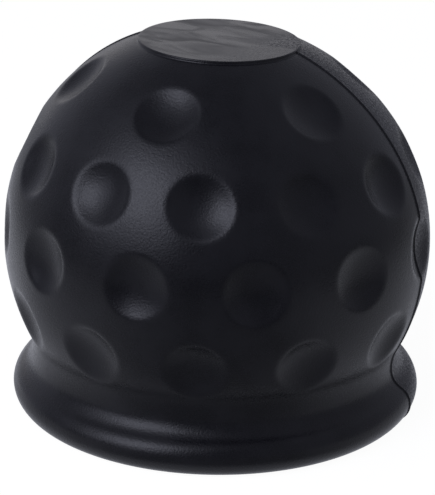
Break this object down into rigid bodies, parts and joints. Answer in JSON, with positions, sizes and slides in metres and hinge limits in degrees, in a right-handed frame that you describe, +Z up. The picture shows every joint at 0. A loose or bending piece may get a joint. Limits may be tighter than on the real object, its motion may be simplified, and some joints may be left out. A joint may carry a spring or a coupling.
{
  "type": "tow ball cover",
  "caption": "Soft black ball-shaped cap with shallow round dimples, a flat disc on top and a waisted skirt with a rolled rim, that snaps over a tow ball.",
  "frame": {"origin": "centre of the foot's circle, on the plane that the rim stands on", "axes": "+Z up through the middle of the top disc; the mould's parting plane is XZ, so +X points along the visible parting line"},
  "size_m": [0.0662, 0.0658, 0.0575],
  "materials": {
    "cover": "satin moulded"
  },
  "bodies": {
    "root": {"cover": "cover"}
  },
  "joints": []
}
